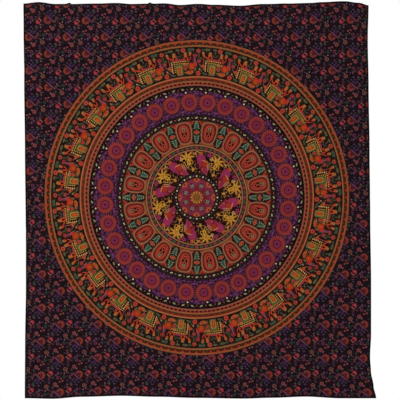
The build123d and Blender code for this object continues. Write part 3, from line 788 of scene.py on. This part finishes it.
def cotton(name, dye=None, fade=0.0, through="#6C5C58"):
    """Woven cotton, printed (no dye given) or dyed in the piece: matt, with little shine."""
    material, tree, surface = new_material(name)
    if dye is None:
        body = add(tree, "ShaderNodeGroup", node_tree=PRINT)[0]
        place = add(tree, "ShaderNodeUVMap", uv_map="flat cut")[0]
        place = add(tree, "ShaderNodeVectorMath", place, None, None, 1 / MM, operation="SCALE")[0]
    else:
        body = linear(dye)[:3]
        place = add(tree, "ShaderNodeTexCoord")["Object"]
        place = add(tree, "ShaderNodeVectorRotate", place, None, (1.0, 0.0, 0.0), -math.pi / 2)[0]
        place = add(tree, "ShaderNodeVectorMath", place, None, None, 1 / MM, operation="SCALE")[0]
    weave = add(tree, "ShaderNodeGroup", place, node_tree=WEAVE)
    if fade:
        body = add(tree, "ShaderNodeMix", fade, None, None, None, None, None, body, linear(through),
                   data_type="RGBA")[2]
    # the colour takes the weave's tone and the painted shade of its thread crossings
    body = add(tree, "ShaderNodeVectorMath", body, None, None, weave["Shade"], operation="SCALE")[0]
    tree.links.new(body, surface["Base Color"])
    bump = add(tree, "ShaderNodeBump", 0.35, WEAVE_RELIEF, None, weave["Height"])[0]
    tree.links.new(bump, surface["Normal"])
    surface["Roughness"].default_value = 0.88
    surface["Specular IOR Level"].default_value = 0.03
    surface["Sheen Weight"].default_value = 0.01
    surface["Sheen Roughness"].default_value = 0.5
    return material


PRINTED_COTTON = cotton("screen printed plain weave cotton")
PRINT_REVERSE = cotton("plain weave cotton with print showing through", fade=0.55)
cloth.data.materials.append(PRINTED_COTTON)
cloth.data.materials.append(PRINT_REVERSE)
thickness = cloth.modifiers.new("thickness", "SOLIDIFY")
thickness.thickness = CLOTH_THICK
thickness.offset = -1
thickness.material_offset = 1
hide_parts("printed_panel", "top_band")
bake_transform(cloth)

# --- The hems ---------------------------------------------------------------------------------
# Each edge is turned to the back twice, so the raw edge is hidden, and the black margin shows on
# the fold. Top and bottom run the whole width; the side hems stop between them.


def drape(across, up, behind):
    """Where a point of the flat cloth hangs, and so far behind its printed face."""
    column = np.clip((np.asarray(across) - CLOTH_LEFT) / CLOTH_WIDE * GRID_COLUMNS, 0, GRID_COLUMNS)
    row = np.clip((np.asarray(up) - CLOTH_BOTTOM) / CLOTH_TALL * GRID_ROWS, 0, GRID_ROWS)
    column, row = np.broadcast_arrays(column, row)
    c = np.minimum(column.astype(int), GRID_COLUMNS - 1)
    r = np.minimum(row.astype(int), GRID_ROWS - 1)
    s, t = (column - c)[..., None], (row - r)[..., None]
    below = hung_grid[r, c] * (1 - s) + hung_grid[r, c + 1] * s
    above = hung_grid[r + 1, c] * (1 - s) + hung_grid[r + 1, c + 1] * s
    place = below * (1 - t) + above * t
    place[..., 1] += behind
    return place


# the hem's section: millimetres in from the cloth's edge, and behind the cloth's back
HEM_SECTION = ((0.0, 0.02), (-0.25, 0.35), (0.0, 0.68), (0.5, 0.8), (7.5, 0.8), (14.4, 0.8), (14.85, 0.7),
               (15.0, 0.42), (14.85, 0.12), (14.4, 0.02), (1.6, 0.02), (1.6, 0.38), (0.9, 0.38), (0.6, 0.3),
               (0.45, 0.02))
HEM_COTTON = cotton("black dyed plain weave cotton", dye=MARGIN_BLACK)
HEM_STEPS = 210


def make_hem(name, corner, inward, along, length):
    """Sweep the hem's section along an edge of the hung cloth, and close its ends."""
    rings = []
    for share in np.linspace(0, 1, HEM_STEPS + 1):
        edge = np.array(corner) + np.array(along) * length * share
        for inset, depth in HEM_SECTION:
            at = edge + np.array(inward) * max(inset, 0) * MM
            point = drape(at[0], at[1], CLOTH_THICK + depth * MM)
            point = point + np.array([inward[0], 0, inward[1]]) * min(inset, 0) * MM
            rings.append(point.tolist())
    sides = len(HEM_SECTION)
    faces = []
    for step in range(HEM_STEPS):
        for side in range(sides):
            here, beside = step * sides + side, step * sides + (side + 1) % sides
            faces.append((here, beside, beside + sides, here + sides))
    faces.append(tuple(reversed(range(sides))))
    faces.append(tuple(range(HEM_STEPS * sides, (HEM_STEPS + 1) * sides)))
    hem = bpy.data.objects.new(name, bpy.data.meshes.new(name))
    hem.data.from_pydata(rings, [], faces)
    if inward[0] * along[1] - inward[1] * along[0] < 0:
        hem.data.flip_normals()
    bpy.context.collection.objects.link(hem)
    hem.data.materials.append(HEM_COTTON)
    return hem


side_low, side_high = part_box("left_hem")
SIDE_LENGTH = side_high[2] - side_low[2]
HEMS = {
    "top_hem": ((CLOTH_LEFT, CLOTH_TOP), (0, -1), (1, 0), CLOTH_WIDE),
    "bottom_hem": ((CLOTH_LEFT, CLOTH_BOTTOM), (0, 1), (1, 0), CLOTH_WIDE),
    "left_hem": ((CLOTH_LEFT, side_low[2]), (1, 0), (0, 1), SIDE_LENGTH),
    "right_hem": ((CLOTH_RIGHT, side_low[2]), (-1, 0), (0, 1), SIDE_LENGTH),
}
for node, (corner, inward, along, length) in HEMS.items():
    hem = make_hem("turned_" + node, corner, inward, along, length)
    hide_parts(node)
    if node == "top_hem":
        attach(hem, "hung_edge")
    elif node == "bottom_hem":
        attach(hem, "drop")
    else:
        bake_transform(hem)

# --- The stitching ----------------------------------------------------------------------------
# A lockstitch holds each hem: polyester needle thread shows on the face and bobbin thread on the
# back, 13 mm in from the edge, at about eight stitches to the inch.

STITCH_LENGTH = 3.2 * MM
THREAD_WIDE = 0.5 * MM
THREAD_THICK = 0.3 * MM
SEAM_INSET = 13 * MM
STITCH_COVER = 0.86  # the share of a stitch's length that its thread shows
HEM_STACK = 0.8 * MM  # the two turned layers behind the printed one
SLIT_HALF = 0.25 * MM  # half the gap between the pinned band and the cloth that hangs from it
THREAD_BLACK = "#1A1618"

STITCH = bpy.data.node_groups.new("lockstitch", "GeometryNodeTree")
STITCH_INPUTS = {}
for label, kind in (("Seam", "NodeSocketGeometry"), ("Stitch length", "NodeSocketFloat"),
                    ("Thread width", "NodeSocketFloat"), ("Thread thickness", "NodeSocketFloat"),
                    ("Thread", "NodeSocketMaterial")):
    STITCH_INPUTS[label] = STITCH.interface.new_socket(label, in_out="INPUT", socket_type=kind).identifier
STITCH.interface.new_socket("Stitches", in_out="OUTPUT", socket_type="NodeSocketGeometry")
seam_given = add(STITCH, "NodeGroupInput")
stitch_result = STITCH.nodes.new("NodeGroupOutput").inputs
spots = add(STITCH, "GeometryNodeResampleCurve", seam_given["Seam"], None, None, seam_given["Stitch length"],
            mode="LENGTH")[0]
seam_run = add(STITCH, "GeometryNodeInputTangent")[0]
lie = add(STITCH, "FunctionNodeAlignRotationToVector", None, None, seam_run, axis="Z")[0]
lie = add(STITCH, "FunctionNodeAlignRotationToVector", lie, None, (0.0, 1.0, 0.0), axis="Y",
          pivot_axis="Z")[0]
bead = add(STITCH, "GeometryNodeMeshUVSphere", 6, 4, 0.5)[0]
bead_long = add(STITCH, "ShaderNodeMath", seam_given["Stitch length"], STITCH_COVER, operation="MULTIPLY")[0]
bead_size = add(STITCH, "ShaderNodeCombineXYZ", seam_given["Thread width"], seam_given["Thread thickness"],
                bead_long)[0]
laid = add(STITCH, "GeometryNodeInstanceOnPoints", spots, None, bead, None, None, lie, bead_size)[0]
laid = add(STITCH, "GeometryNodeRealizeInstances", laid)[0]
laid = add(STITCH, "GeometryNodeSetShadeSmooth", laid)[0]
laid = add(STITCH, "GeometryNodeSetMaterial", laid, None, seam_given["Thread"])[0]
STITCH.links.new(laid, stitch_result["Stitches"])

# spun polyester sewing thread: fine twisted strands with a low sheen
SEWING_THREAD, thread_tree, thread_surface = new_material("spun polyester sewing thread")
thread_place = add(thread_tree, "ShaderNodeTexCoord")["Object"]
twist = add(thread_tree, "ShaderNodeTexNoise", thread_place, None, 1.2 / MM, 2.0)[0]
twist_shade = add(thread_tree, "ShaderNodeMapRange", twist, 0.3, 0.7, 0.7, 1.5)[0]
twist_colour = add(thread_tree, "ShaderNodeVectorMath", linear(THREAD_BLACK)[:3], None, None, twist_shade,
                   operation="SCALE")[0]
thread_tree.links.new(twist_colour, thread_surface["Base Color"])
twist_bump = add(thread_tree, "ShaderNodeBump", 0.4, 0.05 * MM, None, twist)[0]
thread_tree.links.new(twist_bump, thread_surface["Normal"])
thread_surface["Roughness"].default_value = 0.55
thread_surface["Specular IOR Level"].default_value = 0.3
thread_surface["Sheen Weight"].default_value = 0.1


def sew(name, route):
    """Lay stitches along a route of points, and return them as one plain mesh."""
    path = bpy.data.curves.new(name + "_path", "CURVE")
    path.dimensions = "3D"
    run = path.splines.new("POLY")
    run.points.add(len(route) - 1)
    for point, place in zip(run.points, route):
        point.co = (*place, 1.0)
    guide = bpy.data.objects.new(name + "_path", path)
    bpy.context.collection.objects.link(guide)
    maker = guide.modifiers.new("lockstitch", "NODES")
    maker.node_group = STITCH
    maker[STITCH_INPUTS["Stitch length"]] = STITCH_LENGTH
    maker[STITCH_INPUTS["Thread width"]] = THREAD_WIDE
    maker[STITCH_INPUTS["Thread thickness"]] = THREAD_THICK
    maker[STITCH_INPUTS["Thread"]] = SEWING_THREAD
    seen = guide.evaluated_get(bpy.context.evaluated_depsgraph_get())
    stitches = bpy.data.objects.new(name, bpy.data.meshes.new_from_object(seen))
    stitches.data.name = name
    bpy.context.collection.objects.link(stitches)
    bpy.data.objects.remove(guide)
    return stitches


def seam_line(edge):
    """The seam's line on the flat cloth: across and up, from its start to its end."""
    if edge in ("top", "bottom"):
        height = CLOTH_TOP - SEAM_INSET if edge == "top" else CLOTH_BOTTOM + SEAM_INSET
        across = np.linspace(CLOTH_LEFT, CLOTH_RIGHT, GRID_COLUMNS + 1)
        return across, np.full_like(across, height)
    up = np.linspace(CLOTH_BOTTOM + SEAM_INSET, band_low[2] - SLIT_HALF, GRID_ROWS + 1)
    across = CLOTH_LEFT + SEAM_INSET if edge == "left" else CLOTH_RIGHT - SEAM_INSET
    return np.full_like(up, across), up


FACE_SIDE = -THREAD_THICK / 2
BACK_SIDE = CLOTH_THICK + HEM_STACK + THREAD_THICK / 2
for edge in ("top", "left", "right", "bottom"):
    for thread, behind in (("needle", FACE_SIDE), ("bobbin", BACK_SIDE)):
        across, up = seam_line(edge)
        stitches = sew("%s_%s_stitches" % (edge, thread), drape(across, up, behind))
        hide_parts("%s_%s_thread" % (edge, thread))
        if edge == "top":
            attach(stitches, "hung_edge")
        elif edge == "bottom":
            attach(stitches, "drop")
        else:
            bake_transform(stitches)

# --- The pins ---------------------------------------------------------------------------------
# Seven straight pins hold the top edge to the wall: a hard drawn steel needle through the cloth,
# and a small round head moulded on its end in black plastic.

PIN_BLACK = "#121012"
PIN_STEEL = "#B4B6B8"

# acetal, injection moulded: glossy and dark, with the faintest orange peel
PIN_PLASTIC, head_tree, head_surface = new_material("injection moulded black acetal")
head_place = add(head_tree, "ShaderNodeTexCoord")["Object"]
peel = add(head_tree, "ShaderNodeTexNoise", head_place, None, 1 / MM, 2.0)[0]
head_tint = add(head_tree, "ShaderNodeMapRange", peel, 0.3, 0.7, 0.8, 1.25)[0]
head_colour = add(head_tree, "ShaderNodeVectorMath", linear(PIN_BLACK)[:3], None, None, head_tint,
                  operation="SCALE")[0]
head_tree.links.new(head_colour, head_surface["Base Color"])
head_bump = add(head_tree, "ShaderNodeBump", 0.15, 0.05 * MM, None, peel)[0]
head_tree.links.new(head_bump, head_surface["Normal"])
head_surface["Roughness"].default_value = 0.3

# steel wire, drawn and nickel plated: bright, with fine marks along its length
STEEL, needle_tree, needle_surface = new_material("drawn nickel plated steel")
needle_place = add(needle_tree, "ShaderNodeTexCoord")["Object"]
needle_place = add(needle_tree, "ShaderNodeVectorMath", needle_place, (8 / MM, 0.3 / MM, 8 / MM),
                   operation="MULTIPLY")[0]
draw_marks = add(needle_tree, "ShaderNodeTexNoise", needle_place, None, 1.0, 2.0)[0]
needle_rough = add(needle_tree, "ShaderNodeMapRange", draw_marks, 0.3, 0.7, 0.18, 0.34)[0]
needle_tree.links.new(needle_rough, needle_surface["Roughness"])
needle_surface["Base Color"].default_value = linear(PIN_STEEL)
needle_surface["Metallic"].default_value = 1.0
for number in range(1, len(PIN_PLACES) + 1):
    for part, finish in (("head", PIN_PLASTIC), ("needle", STEEL)):
        mesh = frame["nodes"]["pin_%d_%s" % (number, part)].data
        mesh.materials.clear()
        mesh.materials.append(finish)

# --- The studio -------------------------------------------------------------------------------
# Not part of the hanging: a pale painted floor below it, a white surround, soft light from the
# upper left, a broad lamp overhead for the floor, and a long lens looking straight at the cloth.

FLOOR_DROP = 0.10
FLOOR_HALF_WIDE = 2.6
FLOOR_FRONT = -2.4
FLOOR_BACK = 0.5
floor_z = CLOTH_BOTTOM - FLOOR_DROP
floor = bpy.data.objects.new("floor", bpy.data.meshes.new("floor"))
floor.data.from_pydata([(-FLOOR_HALF_WIDE, FLOOR_FRONT, floor_z), (FLOOR_HALF_WIDE, FLOOR_FRONT, floor_z),
                        (FLOOR_HALF_WIDE, FLOOR_BACK, floor_z), (-FLOOR_HALF_WIDE, FLOOR_BACK, floor_z)],
                       [], [(0, 1, 2, 3)])
bpy.context.collection.objects.link(floor)
FLOOR_PAINT, floor_tree, floor_surface = new_material("matt white floor paint")
floor_place = add(floor_tree, "ShaderNodeTexCoord")["Object"]
floor_noise = add(floor_tree, "ShaderNodeTexNoise", floor_place, None, 3.0, 3.0)[0]
floor_shade = add(floor_tree, "ShaderNodeMapRange", floor_noise, 0.3, 0.7, 0.99, 1.0)[0]
floor_colour = add(floor_tree, "ShaderNodeVectorMath", linear("#FAFAFA")[:3], None, None, floor_shade,
                   operation="SCALE")[0]
floor_tree.links.new(floor_colour, floor_surface["Base Color"])
floor_surface["Roughness"].default_value = 0.9
floor_surface["Specular IOR Level"].default_value = 0.1
floor.data.materials.append(FLOOR_PAINT)

SURROUND_LIGHT = 0.56
SOFT_BOX_POWER = 190.0
SOFT_BOX_SIZE = 3.0
SOFT_BOX_AT = (-3.2, -4.4, 1.6)
SOFT_BOX_AIM = Vector((0, 0, -1.2))
FLOOR_LIGHT = 1.0
surround = bpy.data.worlds.new("white surround")
bpy.context.scene.world = surround
surround.use_nodes = True
backdrop = surround.node_tree.nodes["Background"].inputs
backdrop["Color"].default_value = (1.0, 1.0, 1.0, 1.0)
seen_directly = add(surround.node_tree, "ShaderNodeLightPath")["Is Camera Ray"]
brightness = add(surround.node_tree, "ShaderNodeMapRange", seen_directly, 0.0, 1.0, SURROUND_LIGHT, 1.0)[0]
surround.node_tree.links.new(brightness, backdrop["Strength"])

soft_box = bpy.data.objects.new("soft_box", bpy.data.lights.new("soft_box", "AREA"))
bpy.context.collection.objects.link(soft_box)
soft_box.data.shape = "RECTANGLE"
soft_box.data.size = SOFT_BOX_SIZE
soft_box.data.size_y = SOFT_BOX_SIZE
soft_box.data.energy = SOFT_BOX_POWER
soft_box.location = SOFT_BOX_AT
soft_box.rotation_euler = (SOFT_BOX_AIM - soft_box.location).to_track_quat("-Z", "Y").to_euler()

overhead = bpy.data.objects.new("overhead", bpy.data.lights.new("overhead", "SUN"))
bpy.context.collection.objects.link(overhead)
overhead.data.energy = FLOOR_LIGHT
overhead.data.angle = math.radians(60)

LENS = 120.0
SENSOR = 36.0
FIELD_SEEN = 2.44
CAMERA_RIGHT = 0.015
CAMERA_RISE = 0.0015
camera = bpy.data.objects.new("camera", bpy.data.cameras.new("camera"))
bpy.context.collection.objects.link(camera)
camera.data.lens = LENS
camera.data.sensor_width = SENSOR
camera.data.clip_end = 60
camera.location = (CAMERA_RIGHT, FACE_Y - FIELD_SEEN * LENS / SENSOR,
                   (CLOTH_TOP + CLOTH_BOTTOM) / 2 + CAMERA_RISE)
camera.rotation_euler = (math.pi / 2, 0, 0)
bpy.context.scene.camera = camera
bpy.context.scene.view_settings.view_transform = "Standard"
